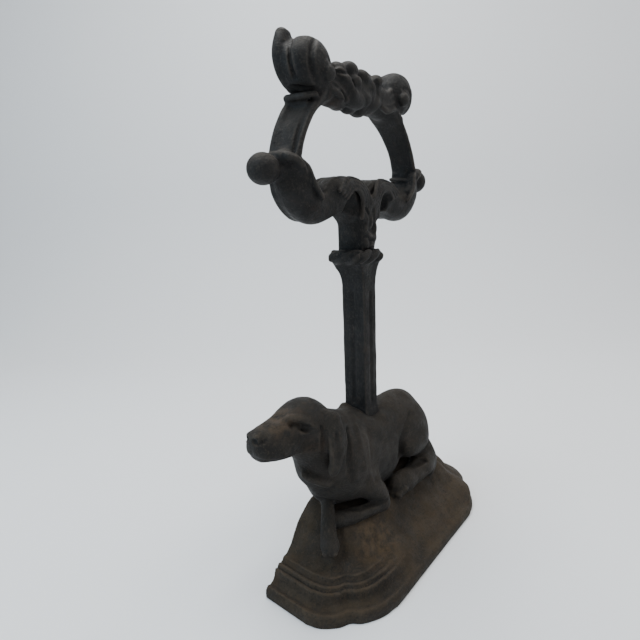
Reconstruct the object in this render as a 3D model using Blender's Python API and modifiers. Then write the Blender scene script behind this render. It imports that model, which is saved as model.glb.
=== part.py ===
"""Cast-iron door porter: a hound lying on a moulded mound, a four-sided column rising from its
back, and a scrolled ring handle, all drawn together by one tie rod from below.

Sizes are in metres. The pieces are drawn in the plinth's own frame: x = 0 at the middle of its
length, y = 0 on the flat back with the front towards -Y, z = 0 on the ground, and the dog's head
towards -X. One empty then moves them so that the whole object is centred.
"""
import math

import bmesh
import bpy
from mathutils import Matrix, Vector

# ---- Driving dimensions ------------------------------------------------------------------------
GAP = 0.0003                     # clearance kept between neighbouring castings

END_X = 0.1135                   # half length of the plinth's foot
FRONT_Y = -0.0796                # front edge of the plinth's foot
CORNER_X = 0.0690                # where the front edge meets the canted corner
CORNER_Y = -0.0430               # where the end meets the canted corner
WALL = 0.005                     # thickness of the hollow plinth
CEILING_Z = 0.044                # inside top of the plinth
# Side slope of the plinth as (inset from the foot, height): lip, two mouldings, then the mound.
SLOPE = [(0.0, 0.0), (0.0, 0.0055), (0.0030, 0.0072), (0.0070, 0.0082), (0.0095, 0.0105),
         (0.0115, 0.0145), (0.0140, 0.0173), (0.0185, 0.0182), (0.0205, 0.0200), (0.0230, 0.0213),
         (0.0265, 0.0238), (0.0315, 0.0325), (0.0370, 0.0395), (0.0430, 0.0450), (0.0490, 0.0500),
         (0.0540, 0.0525)]

COLUMN_X, COLUMN_Y = -0.0077, -0.0132   # the column's axis, over the dog's withers
COLUMN_HALF_X, COLUMN_HALF_Y = 0.0084, 0.0104
COLUMN_FOOT_Z = 0.090            # bottom of the mortise in the dog's back
COLLAR_HALF_X, COLLAR_HALF_Y = 0.0138, 0.0150
COLLAR_TOP_Z = 0.2368
SOCKET_DEPTH = 0.0030            # recess in the collar that the handle's neck stands in
NECK_HALF_X, NECK_HALF_Y = 0.0094, 0.0118

ROD_RADIUS = 0.0040
ROD_BORE = 0.0045
ROD_LOW_Z = 0.0290
ROD_TOP_Z = 0.2660
NECK_HOLE_TOP_Z = 0.2680
WASHER_RADIUS = 0.0063
WASHER_THICK = 0.0016
NUT_SIDE = 0.0120
NUT_THICK = 0.0070

SCREW_SPOTS = {"fixing_screw_front": (-0.044, -0.0160), "fixing_screw_rear": (0.034, -0.0160)}
SCREW_RADIUS = 0.0025
SCREW_HEAD_RADIUS = 0.0050
SCREW_HEAD_THICK = 0.0035
SCREW_TOP_Z = 0.0640

RING_Y = -0.0110                 # middle of the ring's depth
STRAP_HALF_DEPTH = 0.0104        # half of the ring's depth, front to back
SCROLL_X, SCROLL_Z, SCROLL_R = 0.0528, 0.3590, 0.0160
KNOB_X, KNOB_Z, KNOB_R = 0.0940, 0.2950, 0.0090
LEAF_TIP_Z = 0.3800              # highest point of the object

NOSE_X = -0.1285                 # furthest forward point of the object
MIDDLE_X = -(NOSE_X + END_X) / 2
MIDDLE_Y = -FRONT_Y / 2

# ---- Finishes: colour, metallic, roughness -----------------------------------------------------
FINISHES = {
    "plinth": ((0.060, 0.047, 0.039), 0.55, 0.70),
    "dog": ((0.050, 0.042, 0.037), 0.60, 0.62),
    "column": ((0.038, 0.037, 0.038), 0.60, 0.60),
    "ring_handle": ((0.040, 0.038, 0.038), 0.60, 0.60),
    "fastener": ((0.085, 0.060, 0.045), 0.75, 0.55),
}


# ---- Scene and material helpers ----------------------------------------------------------------
def clear_scene():
    for old in list(bpy.data.objects):
        bpy.data.objects.remove(old, do_unlink=True)


def new_collection(name):
    made = bpy.data.collections.new(name)
    bpy.context.scene.collection.children.link(made)
    return made


def finish_material(name, finish):
    color, metallic, roughness = FINISHES[finish]
    material = bpy.data.materials.new(name + "_iron")
    material.use_nodes = True
    shader = material.node_tree.nodes["Principled BSDF"]
    shader.inputs["Base Color"].default_value = (*color, 1.0)
    shader.inputs["Metallic"].default_value = metallic
    shader.inputs["Roughness"].default_value = roughness
    material.diffuse_color = (*color, 1.0)
    return material


def add_object(name, bm, collection):
    mesh = bpy.data.meshes.new(name)
    bm.to_mesh(mesh)
    bm.free()
    made = bpy.data.objects.new(name, mesh)
    collection.objects.link(made)
    made.parent = FRAME
    return made


def add_part(name, bm, finish, sharp_angle=35):
    made = add_object(name, bm, PARTS)
    made.data.materials.append(finish_material(name, finish))
    made.data.shade_smooth()
    made.data.set_sharp_from_angle(angle=math.radians(sharp_angle))
    return made


def add_cutter(name, bm):
    made = add_object(name, bm, CUTTERS)
    made.display_type = "WIRE"
    made.hide_render = True
    return made


def combine(part, tool, operation="DIFFERENCE"):
    step = part.modifiers.new(tool.name, "BOOLEAN")
    step.operation = operation
    step.solver = "EXACT"
    step.object = tool


def ease_edges(part, width, angle_deg=30.0):
    step = part.modifiers.new("eased_edges", "BEVEL")
    step.width = width
    step.segments = 1
    step.limit_method = "ANGLE"
    step.angle_limit = math.radians(angle_deg)


def fuse(part, voxel, smooth_steps, keep):
    """Turn overlapping lumps into one casting skin with the given share of its triangles."""
    skin = part.modifiers.new("one_skin", "REMESH")
    skin.mode = "VOXEL"
    skin.voxel_size = voxel
    soften = part.modifiers.new("soften", "SMOOTH")
    soften.factor = 0.5
    soften.iterations = smooth_steps
    thin = part.modifiers.new("thin_out", "DECIMATE")
    thin.ratio = keep


# ---- Solid helpers -----------------------------------------------------------------------------
def box(bm, low, high):
    low, high = Vector(low), Vector(high)
    place = Matrix.Translation((low + high) / 2) @ Matrix.Diagonal((*(high - low), 1.0))
    bmesh.ops.create_cube(bm, size=1.0, matrix=place)


def half_space_behind(name, y):
    """Cutter for everything behind a plane at y."""
    bm = bmesh.new()
    box(bm, (-0.25, y, -0.05), (0.25, y + 0.10, 0.45))
    return add_cutter(name, bm)


def upright_rod(bm, radius, low_z, high_z, at=(COLUMN_X, COLUMN_Y), sides=24):
    place = Matrix.Translation((at[0], at[1], (low_z + high_z) / 2))
    bmesh.ops.create_cone(bm, cap_ends=True, segments=sides, radius1=radius, radius2=radius,
                          depth=high_z - low_z, matrix=place)


def lump(bm, center, radii, tilt_deg=(0.0, 0.0, 0.0)):
    """An ellipsoid, turned about X, Y and Z in that order."""
    turn = Matrix.Identity(4)
    for angle, axis in zip(tilt_deg, "XYZ"):
        turn = Matrix.Rotation(math.radians(angle), 4, axis) @ turn
    place = Matrix.Translation(center) @ turn @ Matrix.Diagonal((*radii, 1.0))
    bmesh.ops.create_uvsphere(bm, u_segments=20, v_segments=12, radius=1.0, matrix=place)


def chain(bm, *stations):
    """A tapered limb with round joints through (x, y, z, radius) stations."""
    for *point, radius in stations:
        lump(bm, point, (radius,) * 3)
    for (*start, start_radius), (*end, end_radius) in zip(stations, stations[1:]):
        start, end = Vector(start), Vector(end)
        turn = (end - start).to_track_quat("Z", "Y").to_matrix().to_4x4()
        bmesh.ops.create_cone(bm, cap_ends=True, segments=16, radius1=start_radius,
                              radius2=end_radius, depth=(end - start).length,
                              matrix=Matrix.Translation((start + end) / 2) @ turn)


def loft(bm, sections):
    """Skin closed outlines, given as (outline, height) from bottom to top, and cap both ends."""
    rings = [[bm.verts.new((p.x, p.y, z)) for p in outline] for outline, z in sections]
    for lower, upper in zip(rings, rings[1:]):
        for i in range(len(lower)):
            j = (i + 1) % len(lower)
            bm.faces.new((lower[i], lower[j], upper[j], upper[i]))
    bm.faces.new(list(reversed(rings[0])))
    bm.faces.new(rings[-1])


# ---- Plinth ------------------------------------------------------------------------------------
def corner_bulge(t):
    """How far the canted corner stands out of a straight line: two lobes with a dip between."""
    return 0.0050 * math.sin(math.pi * t) ** 0.7 - 0.0020 * math.exp(-((t - 0.45) / 0.09) ** 2)


def plinth_outline(inset, back_inset=0.0, steps=12):
    """Plan of the plinth, drawn in by inset on the front and the ends."""
    cant = Vector((END_X - CORNER_X, FRONT_Y - CORNER_Y))
    outward = Vector((cant.y, -cant.x)).normalized()
    slide_end = inset * (1.0 + outward.x) / -outward.y
    slide_front = inset * (1.0 + outward.y) / -outward.x
    end = Vector((-END_X + inset, CORNER_Y + slide_end))
    front = Vector((-CORNER_X + slide_front, FRONT_Y + inset))
    left = [Vector((-END_X + inset, -back_inset))]
    for step in range(steps + 1):
        t = step / steps
        left.append(end.lerp(front, t) + outward * corner_bulge(t))
    right = [Vector((-point.x, point.y)) for point in reversed(left)]
    return left + right


def plinth_solid(grow=0.0):
    bm = bmesh.new()
    sections = [(plinth_outline(inset - grow, -grow), z + grow) for inset, z in SLOPE]
    sections[0] = (sections[0][0], -grow)
    loft(bm, sections)
    return bm


def build_plinth():
    plinth = add_part("plinth", plinth_solid(), "plinth", sharp_angle=20)
    hollow = [(plinth_outline(WALL, WALL), -0.001)]
    for inset, z in SLOPE:
        if 0.010 < z < CEILING_Z:
            hollow.append((plinth_outline(inset + WALL, WALL), z - 0.6 * WALL))
    hollow.append((plinth_outline(0.0445 + WALL, WALL), CEILING_Z))
    bm = bmesh.new()
    loft(bm, hollow)
    combine(plinth, add_cutter("plinth_hollow", bm))
    bm = bmesh.new()
    upright_rod(bm, ROD_BORE, CEILING_Z - 0.010, SLOPE[-1][1] + 0.010)
    for spot in SCREW_SPOTS.values():
        upright_rod(bm, SCREW_RADIUS + GAP, CEILING_Z - 0.010, SLOPE[-1][1] + 0.010, spot, 20)
    combine(plinth, add_cutter("plinth_bores", bm))


# ---- Dog ---------------------------------------------------------------------------------------
def dog_lumps():
    bm = bmesh.new()
    # Trunk: chest, ribs, loin and rump.
    lump(bm, (-0.050, -0.0170, 0.0805), (0.027, 0.021, 0.029))
    lump(bm, (-0.021, -0.0170, 0.0825), (0.041, 0.022, 0.030))
    lump(bm, (0.014, -0.0175, 0.0875), (0.035, 0.020, 0.0270))
    lump(bm, (0.036, -0.0190, 0.0845), (0.028, 0.021, 0.0300))
    lump(bm, (-0.004, -0.0130, 0.0640), (0.040, 0.014, 0.0180))
    # Neck, nape, throat and head, carried forward over the plinth's end.
    chain(bm, (-0.048, -0.0160, 0.093, 0.0240), (-0.075, -0.0150, 0.114, 0.0190))
    chain(bm, (-0.070, -0.0150, 0.119, 0.0150), (-0.028, -0.0150, 0.103, 0.0140))
    lump(bm, (-0.068, -0.0150, 0.093), (0.0210, 0.0160, 0.0210), (0.0, 35.0, 0.0))
    lump(bm, (-0.0815, -0.0140, 0.1265), (0.0215, 0.0172, 0.0182), (0.0, 12.0, 0.0))
    chain(bm, (-0.095, -0.0125, 0.1240, 0.0150), (-0.1172, -0.0115, 0.1245, 0.0108))
    # Hanging ears.
    for side in (-1.0, 1.0):
        lump(bm, (-0.0700, -0.0140 + side * 0.0190, 0.1120), (0.0090, 0.0045, 0.0210),
             (0.0, 8.0, 0.0))
    # Near shoulder, and the foreleg folded inwards on the ground.
    lump(bm, (-0.042, -0.0290, 0.079), (0.020, 0.013, 0.026), (0.0, -12.0, 0.0))
    chain(bm, (-0.037, -0.0330, 0.067, 0.0120), (-0.025, -0.0410, 0.048, 0.0085),
          (-0.056, -0.0320, 0.046, 0.0065), (-0.066, -0.0270, 0.046, 0.0065))
    # Far foreleg, stretched down the mound's end.
    chain(bm, (-0.056, -0.0160, 0.066, 0.0120), (-0.067, -0.0250, 0.052, 0.0088),
          (-0.076, -0.0328, 0.041, 0.0072), (-0.079, -0.0350, 0.038, 0.0078))
    # Near haunch, and the hind leg folded with its foot forward.
    lump(bm, (0.040, -0.0320, 0.076), (0.022, 0.013, 0.026), (0.0, -15.0, 0.0))
    chain(bm, (0.042, -0.0330, 0.066, 0.0130), (0.029, -0.0390, 0.060, 0.0095))
    chain(bm, (0.055, -0.0360, 0.050, 0.0085), (0.030, -0.0400, 0.046, 0.0072),
          (0.009, -0.0395, 0.045, 0.0080))
    # Tail laid round the rump.
    chain(bm, (0.060, -0.0150, 0.070, 0.0070), (0.067, -0.0240, 0.054, 0.0055),
          (0.060, -0.0410, 0.043, 0.0040))
    # Raised pad that the column stands in.
    box(bm, (COLUMN_X - 0.0118, COLUMN_Y - 0.0135, 0.080), (COLUMN_X + 0.0118, 0.0020, 0.1075))
    return bm


def build_dog():
    dog = add_part("dog", dog_lumps(), "dog")
    fuse(dog, voxel=0.0021, smooth_steps=4, keep=0.24)
    combine(dog, half_space_behind("dog_back", 0.0))
    combine(dog, add_cutter("plinth_seat", plinth_solid(grow=GAP)))
    bm = bmesh.new()
    box(bm, (COLUMN_X - COLUMN_HALF_X - GAP, COLUMN_Y - COLUMN_HALF_Y - GAP, COLUMN_FOOT_Z),
        (COLUMN_X + COLUMN_HALF_X + GAP, 0.020, 0.160))
    combine(dog, add_cutter("column_mortise", bm))
    bm = bmesh.new()
    upright_rod(bm, ROD_BORE, 0.030, COLUMN_FOOT_Z + 0.004)
    for spot in SCREW_SPOTS.values():
        upright_rod(bm, SCREW_RADIUS + GAP, 0.030, SCREW_TOP_Z + GAP, spot, 20)
    combine(dog, add_cutter("dog_bores", bm))


# ---- Column ------------------------------------------------------------------------------------
def rectangle(half_x, half_y, center=(COLUMN_X, COLUMN_Y)):
    corners = ((-1, 1), (-1, -1), (1, -1), (1, 1))
    return [Vector((center[0] + sx * half_x, center[1] + sy * half_y)) for sx, sy in corners]


def build_column():
    # Share of the way from the shaft's side to the collar's, against the drop below the top.
    flare = [(0.0, 0.0220), (0.30, 0.0140), (0.55, 0.0095), (0.75, 0.0068), (1.0, 0.0050),
             (1.0, 0.0020), (0.80, 0.0)]
    sections = [(rectangle(COLUMN_HALF_X, COLUMN_HALF_Y), COLUMN_FOOT_Z + GAP)]
    for share, drop in flare:
        half_x = COLUMN_HALF_X + share * (COLLAR_HALF_X - COLUMN_HALF_X)
        half_y = COLUMN_HALF_Y + share * (COLLAR_HALF_Y - COLUMN_HALF_Y)
        sections.append((rectangle(half_x, half_y), COLLAR_TOP_Z - drop))
    bm = bmesh.new()
    loft(bm, sections)
    column = add_part("column", bm, "column")
    ease_edges(column, 0.0006, angle_deg=50.0)
    bm = bmesh.new()
    upright_rod(bm, ROD_BORE, COLUMN_FOOT_Z - 0.010, COLLAR_TOP_Z + 0.010)
    combine(column, add_cutter("column_bore", bm))
    bm = bmesh.new()
    side_x, side_y = NECK_HALF_X + 0.0012, NECK_HALF_Y + 0.0012
    box(bm, (COLUMN_X - side_x, COLUMN_Y - side_y, COLLAR_TOP_Z - SOCKET_DEPTH),
        (COLUMN_X + side_x, 0.020, COLLAR_TOP_Z + 0.010))
    combine(column, add_cutter("neck_socket", bm))
    combine(column, half_space_behind("column_back", 0.0))


# ---- Ring handle -------------------------------------------------------------------------------
# Half of the ring's middle line as (distance from the column's axis, z, half thickness), from the
# crossbar round to the neck.
STRAP = [(0.0000, 0.3507, 0.0120), (0.0215, 0.3502, 0.0110), (0.0390, 0.3458, 0.0078),
         (0.0548, 0.3350, 0.0056), (0.0655, 0.3208, 0.0046), (0.0720, 0.3058, 0.0045),
         (0.0735, 0.2940, 0.0060), (0.0687, 0.2808, 0.0086), (0.0573, 0.2727, 0.0100),
         (0.0430, 0.2717, 0.0103), (0.0301, 0.2785, 0.0112), (0.0165, 0.2797, 0.0126),
         (0.0058, 0.2717, 0.0105)]


def smooth_run(points, spacing):
    """Points read along a smooth curve through the given ones, about spacing apart."""
    run = []
    padded = [points[0]] + list(points) + [points[-1]]
    for before, start, end, after in zip(padded, padded[1:], padded[2:], padded[3:]):
        count = max(2, round(math.dist(start[:2], end[:2]) / spacing))
        for step in range(count):
            t = step / count
            run.append(tuple(0.5 * (2 * b + (c - a) * t + (2 * a - 5 * b + 4 * c - d) * t * t
                                    + (3 * b - a - 3 * c + d) * t ** 3)
                             for a, b, c, d in zip(before, start, end, after)))
    run.append(tuple(points[-1]))
    return run


def slice_of_strap(bm, x, z, radius, half_depth=STRAP_HALF_DEPTH, draft=0.0015):
    """A round slice lying front to back, wider at the back by the casting's draft."""
    spin = Matrix.Rotation(math.radians(-90.0), 4, "X")
    place = Matrix.Translation((COLUMN_X + x, RING_Y, z)) @ spin
    for reach, size in ((1.0, 0.86), (0.80, 1.0)):
        bmesh.ops.create_cone(bm, cap_ends=True, segments=20, radius1=(radius - draft) * size,
                              radius2=(radius + draft) * size, depth=2 * half_depth * reach,
                              matrix=place)


def ring_lumps():
    bm = bmesh.new()
    for side in (-1.0, 1.0):
        for x, z, half in smooth_run(STRAP, 0.0025):
            slice_of_strap(bm, side * x, z, half)
        # Top scroll with the lip of its leaf at the back.
        middle = COLUMN_X + side * SCROLL_X
        slice_of_strap(bm, side * SCROLL_X, SCROLL_Z, SCROLL_R, half_depth=0.0105)
        lump(bm, (middle, RING_Y - 0.0060, SCROLL_Z), (0.0130, 0.0125, 0.0130))
        chain(bm, (middle + side * 0.0110, RING_Y + 0.0040, SCROLL_Z, 0.0060),
              (middle + side * 0.0140, RING_Y + 0.0060, LEAF_TIP_Z - 0.0032, 0.0032))
        # Side knob.
        chain(bm, (COLUMN_X + side * 0.0755, RING_Y, 0.2940, 0.0062),
              (COLUMN_X + side * 0.0870, RING_Y, 0.2955, 0.0062))
        lump(bm, (COLUMN_X + side * KNOB_X, RING_Y, KNOB_Z), (KNOB_R,) * 3)
        # Leaves of the crossbar.
        for x, z, tilt in ((0.0100, 0.3585, 25.0), (0.0250, 0.3563, 60.0), (0.0175, 0.3430, -35.0)):
            lump(bm, (COLUMN_X + side * x, RING_Y - 0.0070, z), (0.0100, 0.0070, 0.0068),
                 (0.0, side * tilt, 0.0))
    lump(bm, (COLUMN_X, RING_Y - 0.0060, 0.3507), (0.0110, 0.0085, 0.0160))
    box(bm, (COLUMN_X - NECK_HALF_X, COLUMN_Y - NECK_HALF_Y, COLLAR_TOP_Z - 0.010),
        (COLUMN_X + NECK_HALF_X, COLUMN_Y + NECK_HALF_Y, 0.2750))
    lump(bm, (COLUMN_X, COLUMN_Y, 0.2500), (0.0112, 0.0135, 0.0130))
    return bm


def build_ring_handle():
    ring = add_part("ring_handle", ring_lumps(), "ring_handle")
    fuse(ring, voxel=0.0019, smooth_steps=2, keep=0.22)
    combine(ring, half_space_behind("ring_back", 0.0))
    bm = bmesh.new()
    box(bm, (-0.06, -0.06, 0.10), (0.06, 0.06, COLLAR_TOP_Z - SOCKET_DEPTH + GAP))
    combine(ring, add_cutter("neck_foot", bm))
    bm = bmesh.new()
    upright_rod(bm, ROD_RADIUS + GAP, 0.20, NECK_HOLE_TOP_Z)
    combine(ring, add_cutter("neck_hole", bm))


# ---- Fasteners ---------------------------------------------------------------------------------
def build_tie_rod():
    bm = bmesh.new()
    upright_rod(bm, ROD_RADIUS, ROD_LOW_Z, ROD_TOP_Z)
    rod = add_part("tie_rod", bm, "fastener")
    ease_edges(rod, 0.0005, angle_deg=60.0)


def build_washer_and_nut():
    top = CEILING_Z - GAP
    nut_top = top - WASHER_THICK - GAP
    bm = bmesh.new()
    upright_rod(bm, ROD_RADIUS + GAP, nut_top - NUT_THICK - 0.005, CEILING_Z + 0.005)
    bore = add_cutter("nut_bore", bm)
    bm = bmesh.new()
    upright_rod(bm, WASHER_RADIUS, top - WASHER_THICK, top, sides=36)
    combine(add_part("washer", bm, "fastener"), bore)
    bm = bmesh.new()
    loft(bm, [(rectangle(NUT_SIDE / 2, NUT_SIDE / 2), nut_top - NUT_THICK),
              (rectangle(NUT_SIDE / 2, NUT_SIDE / 2), nut_top)])
    nut = add_part("square_nut", bm, "fastener")
    ease_edges(nut, 0.0007)
    combine(nut, bore)


def build_fixing_screws():
    head_top = CEILING_Z - GAP
    head_low = head_top - SCREW_HEAD_THICK
    for name, spot in SCREW_SPOTS.items():
        bm = bmesh.new()
        upright_rod(bm, SCREW_HEAD_RADIUS, head_low, head_top, spot, 28)
        screw = add_part(name, bm, "fastener")
        bm = bmesh.new()
        upright_rod(bm, SCREW_RADIUS, head_top - 0.001, SCREW_TOP_Z, spot, 20)
        combine(screw, add_cutter(name + "_shank", bm), "UNION")
        bm = bmesh.new()
        box(bm, (spot[0] - 0.0060, spot[1] - 0.0007, head_low - 0.0020),
            (spot[0] + 0.0060, spot[1] + 0.0007, head_low + 0.0012))
        combine(screw, add_cutter(name + "_slot", bm))


clear_scene()
PARTS = new_collection("door_stop")
CUTTERS = new_collection("cutters")
FRAME = bpy.data.objects.new("door_stop_frame", None)
FRAME.location = (MIDDLE_X, MIDDLE_Y, 0.0)
PARTS.objects.link(FRAME)
build_plinth()
build_dog()
build_column()
build_ring_handle()
build_tie_rod()
build_washer_and_nut()
build_fixing_screws()
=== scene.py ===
import math

import bpy
import numpy as np
from mathutils import Matrix, Vector


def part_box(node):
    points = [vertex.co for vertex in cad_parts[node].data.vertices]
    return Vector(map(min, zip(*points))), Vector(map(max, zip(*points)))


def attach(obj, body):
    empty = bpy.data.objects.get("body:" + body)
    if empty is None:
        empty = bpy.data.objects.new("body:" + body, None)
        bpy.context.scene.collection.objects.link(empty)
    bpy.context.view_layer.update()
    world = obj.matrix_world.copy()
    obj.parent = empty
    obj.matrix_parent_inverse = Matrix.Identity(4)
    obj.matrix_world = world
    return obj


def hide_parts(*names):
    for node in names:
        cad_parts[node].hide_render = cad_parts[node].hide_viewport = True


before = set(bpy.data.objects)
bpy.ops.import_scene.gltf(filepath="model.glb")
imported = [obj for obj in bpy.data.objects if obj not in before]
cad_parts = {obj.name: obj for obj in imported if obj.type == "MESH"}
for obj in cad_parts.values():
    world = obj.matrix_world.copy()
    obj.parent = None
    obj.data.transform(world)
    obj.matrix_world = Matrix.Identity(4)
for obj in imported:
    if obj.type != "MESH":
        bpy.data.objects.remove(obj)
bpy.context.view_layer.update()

MM = 0.001

# ---- Places taken from the frame ------------------------
PLINTH_LOW, PLINTH_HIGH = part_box("plinth")
COLUMN_LOW, COLUMN_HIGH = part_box("column")
ORIGIN = np.array([(PLINTH_LOW.x + PLINTH_HIGH.x) / 2, PLINTH_HIGH.y, PLINTH_LOW.z])
END_X = (PLINTH_HIGH.x - PLINTH_LOW.x) / 2 / MM
FRONT_Y = (PLINTH_LOW.y - PLINTH_HIGH.y) / MM
COLUMN_X = ((COLUMN_LOW.x + COLUMN_HIGH.x) / 2 - ORIGIN[0]) / MM
COLUMN_Y = -13.2
COLLAR_TOP = COLUMN_HIGH.z / MM
RING_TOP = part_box("ring_handle")[1].z / MM


# ---- Signed-distance shapes -----------------------------
def turned(turn):
    """Rotation matrix for turns in degrees about X, then Y, then Z."""
    matrix = Matrix.Identity(3)
    for angle, axis in zip(turn, "XYZ"):
        matrix = Matrix.Rotation(math.radians(angle), 3, axis) @ matrix
    return np.array(matrix)


def to_own(x, y, z, center, matrix):
    """The coordinates along a turned shape's own axes."""
    dx, dy, dz = x - center[0], y - center[1], z - center[2]
    return [matrix[0, i] * dx + matrix[1, i] * dy + matrix[2, i] * dz for i in range(3)]


def blob(center, radii, turn=(0, 0, 0)):
    """An ellipsoid."""
    matrix = turned(turn)
    reach = np.sqrt((matrix * np.array(radii)) ** 2 @ np.ones(3))

    def measure(x, y, z):
        own = to_own(x, y, z, center, matrix)
        near = np.sqrt(sum((c / r) ** 2 for c, r in zip(own, radii)))
        slope = np.sqrt(sum((c / r ** 2) ** 2 for c, r in zip(own, radii)))
        return near * (near - 1.0) / np.maximum(slope, 1e-4)
    return measure, np.array(center) - reach, np.array(center) + reach


def slab(center, half, rounding=0.0, turn=(0, 0, 0)):
    """A box with rounded edges."""
    matrix = turned(turn)
    reach = np.abs(matrix) @ np.array(half, float)

    def measure(x, y, z):
        over = [np.abs(c) - h + rounding for c, h in zip(to_own(x, y, z, center, matrix), half)]
        outside = np.sqrt(sum(np.maximum(o, 0.0) ** 2 for o in over))
        inside = np.minimum(np.maximum(np.maximum(over[0], over[1]), over[2]), 0.0)
        return outside + inside - rounding
    return measure, np.array(center) - reach, np.array(center) + reach


def smooth_run(stations, spacing=3.0):
    """Stations read along a smooth curve through the given ones."""
    points = np.array(stations, float)
    padded = np.vstack([points[0], points, points[-1]])
    run = []
    for a, b, c, d in zip(padded, padded[1:], padded[2:], padded[3:]):
        count = max(1, round(np.linalg.norm(c[:3] - b[:3]) / spacing))
        for t in np.arange(count) / count:
            run.append(0.5 * (2 * b + (c - a) * t + (2 * a - 5 * b + 4 * c - d) * t * t
                              + (3 * b - a - 3 * c + d) * t ** 3))
    run.append(points[-1])
    return np.array(run)


def tube(*stations, flat=None, curved=True):
    """A tapered limb through (x, y, z, radius) stations. flat = (normal, factor) thins it."""
    run = smooth_run(stations) if curved and len(stations) > 2 else np.array(stations, float)
    widest = run[:, 3].max()
    low, high = run[:, :3].min(0) - widest, run[:, :3].max(0) + widest
    normal, factor = (np.array(flat[0], float), flat[1]) if flat else (np.array([0, 0, 1.0]), 1.0)
    normal = normal / np.linalg.norm(normal)

    def stretch(x, y, z):
        along = (x * normal[0] + y * normal[1] + z * normal[2]) * (factor - 1.0)
        return x + along * normal[0], y + along * normal[1], z + along * normal[2]

    def measure(x, y, z):
        x, y, z = stretch(x, y, z) if flat else (x, y, z)
        best = None
        for start, end in zip(run, run[1:]):
            a, b = (np.array(stretch(*p[:3])) for p in (start, end))
            way = b - a
            size = max(way @ way, 1e-6)
            dx, dy, dz = x - a[0], y - a[1], z - a[2]
            t = np.clip((dx * way[0] + dy * way[1] + dz * way[2]) / size, 0.0, 1.0)
            gap = np.sqrt((dx - t * way[0]) ** 2 + (dy - t * way[1]) ** 2 + (dz - t * way[2]) ** 2)
            gap = gap - (start[3] + (end[3] - start[3]) * t)
            best = gap if best is None else np.minimum(best, gap)
        return best / math.sqrt(factor)
    return measure, low, high


def smooth_min(a, b, blend):
    """The smaller distance, rounded off where the two are within blend of each other."""
    if blend <= 0:
        return np.minimum(a, b)
    near = np.maximum(blend - np.abs(a - b), 0.0) / blend
    return np.minimum(a, b) - near * near * blend * 0.25


def ramp_between(value, low, high):
    """Rises smoothly from 0 at low to 1 at high."""
    part = np.clip((value - low) / (high - low), 0.0, 1.0)
    return part * part * (3 - 2 * part)


# ---- The field and its mesh -----------------------------
class Field:
    """Distances on a regular grid, negative inside the metal."""

    def __init__(self, low, high, cell):
        self.low, self.cell = np.array(low, float), cell
        counts = np.ceil((np.array(high, float) - self.low) / cell).astype(int) + 1
        self.d = np.full(tuple(counts), 60.0, np.float32)

    def block(self, low, high, margin):
        """The slices, and the x, y and z, of the grid points in a box with a margin round it."""
        shape = np.array(self.d.shape)
        first = np.clip(np.floor((low - margin - self.low) / self.cell).astype(int), 0, shape)
        last = np.clip(np.ceil((high + margin - self.low) / self.cell).astype(int) + 1, 0, shape)
        axes = [(self.low[i] + self.cell * np.arange(first[i], last[i])).astype(np.float32)
                for i in range(3)]
        window = tuple(slice(a, b) for a, b in zip(first, last))
        return window, axes[0][:, None, None], axes[1][None, :, None], axes[2][None, None, :]

    def add(self, shape, blend=0.0):
        measure, low, high = shape
        window, x, y, z = self.block(low, high, blend + 3 * self.cell)
        if self.d[window].size:
            self.d[window] = smooth_min(self.d[window], measure(x, y, z), blend)

    def carve(self, shape, blend=0.0):
        measure, low, high = shape
        window, x, y, z = self.block(low, high, blend + 3 * self.cell)
        if self.d[window].size:
            self.d[window] = -smooth_min(-self.d[window], measure(x, y, z), blend)

    def grid(self):
        """The x, y and z of every grid point."""
        return self.block(self.low, self.low + self.cell * np.array(self.d.shape), 0)[1:]

    def limit(self, measure, blend=0.0):
        """Keeps only what also lies inside measure."""
        self.d = -smooth_min(-self.d, -measure(*self.grid()), blend)

    def mesh(self):
        """Vertices (millimetres) and quads of the zero surface, by surface nets."""
        d = self.d
        inside = d < 0
        corners = np.zeros(tuple(n - 1 for n in d.shape), np.int8)
        for i in (0, 1):
            for j in (0, 1):
                for k in (0, 1):
                    corners += inside[i:i - 1 or None, j:j - 1 or None, k:k - 1 or None]
        active = (corners > 0) & (corners < 8)
        cells = np.argwhere(active)
        index = np.full(active.shape, -1)
        index[active] = np.arange(len(cells))
        total, hits = np.zeros((len(cells), 3)), np.zeros(len(cells))
        for axis in range(3):
            u, v = [other for other in range(3) if other != axis]
            for step_u in (0, 1):
                for step_v in (0, 1):
                    start = cells.copy()
                    start[:, u] += step_u
                    start[:, v] += step_v
                    end = start.copy()
                    end[:, axis] += 1
                    at_start, at_end = d[tuple(start.T)], d[tuple(end.T)]
                    crossed = (at_start < 0) != (at_end < 0)
                    share = np.where(crossed, at_start / np.where(crossed, at_start - at_end, 1), 0)
                    point = start.astype(float)
                    point[:, axis] += share
                    total += point * crossed[:, None]
                    hits += crossed
        points = self.low + self.cell * total / hits[:, None]
        quads = []
        for axis in range(3):
            u, v = (axis + 1) % 3, (axis + 2) % 3
            lower = np.take(inside, range(d.shape[axis] - 1), axis)
            upper = np.take(inside, range(1, d.shape[axis]), axis)
            edges = np.argwhere(lower != upper)
            edges = edges[(edges[:, u] > 0) & (edges[:, v] > 0)
                          & (edges[:, u] < d.shape[u] - 1) & (edges[:, v] < d.shape[v] - 1)]
            ring = []
            for back_u, back_v in ((1, 1), (0, 1), (0, 0), (1, 0)):
                cell = edges.copy()
                cell[:, u] -= back_u
                cell[:, v] -= back_v
                ring.append(index[tuple(cell.T)])
            quad = np.stack(ring, 1)
            outward = lower[tuple(edges.T)]
            quads.append(np.where(outward[:, None], quad, quad[:, ::-1]))
        return points, np.vstack(quads)


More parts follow.
